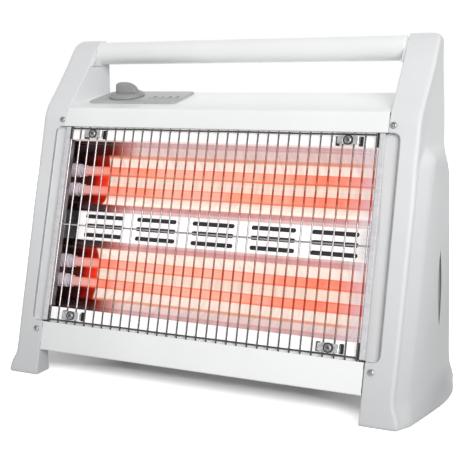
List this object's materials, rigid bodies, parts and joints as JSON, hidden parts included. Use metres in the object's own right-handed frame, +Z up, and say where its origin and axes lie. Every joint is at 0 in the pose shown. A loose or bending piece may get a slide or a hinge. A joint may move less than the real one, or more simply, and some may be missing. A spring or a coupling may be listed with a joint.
{
  "type": "halogen heater",
  "caption": "Free-standing electric halogen heater: glowing quartz tubes in reflectors behind a wire guard, between two moulded side panels with feet and a tube handle.",
  "frame": {"origin": "on the floor, under the middle of the heater's bounding box", "axes": "+X to the right as one faces the guard, -Y out of the guard into the room, +Z up"},
  "size_m": [0.432, 0.163, 0.328],
  "materials": {
    "white_plastic": "moulded, semi-gloss, finely textured",
    "handle_plastic": "extruded tube, semi-gloss",
    "white_paint": "smooth powder coat",
    "guard_chrome": "bright plated wire",
    "polished_sheet": "polished reflector sheet",
    "plated_sheet": "zinc-plated sheet",
    "bright_steel": "zinc-plated",
    "quartz": "clear quartz",
    "glowing_coil": "red-hot resistance wire",
    "ceramic": "unglazed, smooth",
    "grey_plastic": "satin",
    "plate_grey": "satin plate",
    "black_plastic": "moulded"
  },
  "bodies": {
    "heater": {"back_panel": "white_paint", "bottom_plate": "plated_sheet", "cable_gland": "black_plastic", "clip_screw_1": "bright_steel", "clip_screw_2": "bright_steel", "clip_screw_3": "bright_steel", "clip_screw_4": "bright_steel", "control_plate": "plate_grey", "guard": "guard_chrome", "guard_clip_1": "bright_steel", "guard_clip_2": "bright_steel", "guard_clip_3": "bright_steel", "guard_clip_4": "bright_steel", "handle_tube": "handle_plastic", "heating_coil_1": "glowing_coil", "heating_coil_2": "glowing_coil", "heating_coil_3": "glowing_coil", "heating_coil_4": "glowing_coil", "left_end_plate": "plated_sheet", "left_side_panel": "white_plastic", "lower_case": "white_paint", "lower_reflector": "polished_sheet", "middle_bar": "white_paint", "panel_screw_1": "bright_steel", "panel_screw_2": "bright_steel", "panel_screw_3": "bright_steel", "panel_screw_4": "bright_steel", "quartz_tube_1": "quartz", "quartz_tube_2": "quartz", "quartz_tube_3": "quartz", "quartz_tube_4": "quartz", "right_end_plate": "plated_sheet", "right_side_panel": "white_plastic", "rotary_switch": "black_plastic", "terminal_block": "ceramic", "thermal_cutout": "black_plastic", "tip_spring": "bright_steel", "tip_switch_body": "black_plastic", "tube_holder_left_1": "ceramic", "tube_holder_left_2": "ceramic", "tube_holder_left_3": "ceramic", "tube_holder_left_4": "ceramic", "tube_holder_right_1": "ceramic", "tube_holder_right_2": "ceramic", "tube_holder_right_3": "ceramic", "tube_holder_right_4": "ceramic", "upper_case": "white_paint", "upper_reflector": "polished_sheet"},
    "knob": {"selector_knob": "grey_plastic", "switch_shaft": "bright_steel"},
    "plunger": {"tip_plunger": "black_plastic"}
  },
  "joints": [
    {"name": "selector_turn", "type": "hinge", "parent": "heater", "child": "knob", "pos_m": [-0.122, 0.038, 0.26779], "axis": [0, -0.1994, 0.9799], "range_deg": [0, 135]},
    {"name": "tip_switch_travel", "type": "slide", "parent": "heater", "child": "plunger", "axis": [0, 0, -1], "range_m": [0, 0.005], "stiffness_N_per_m": 60, "springref_m": 0.009}
  ]
}
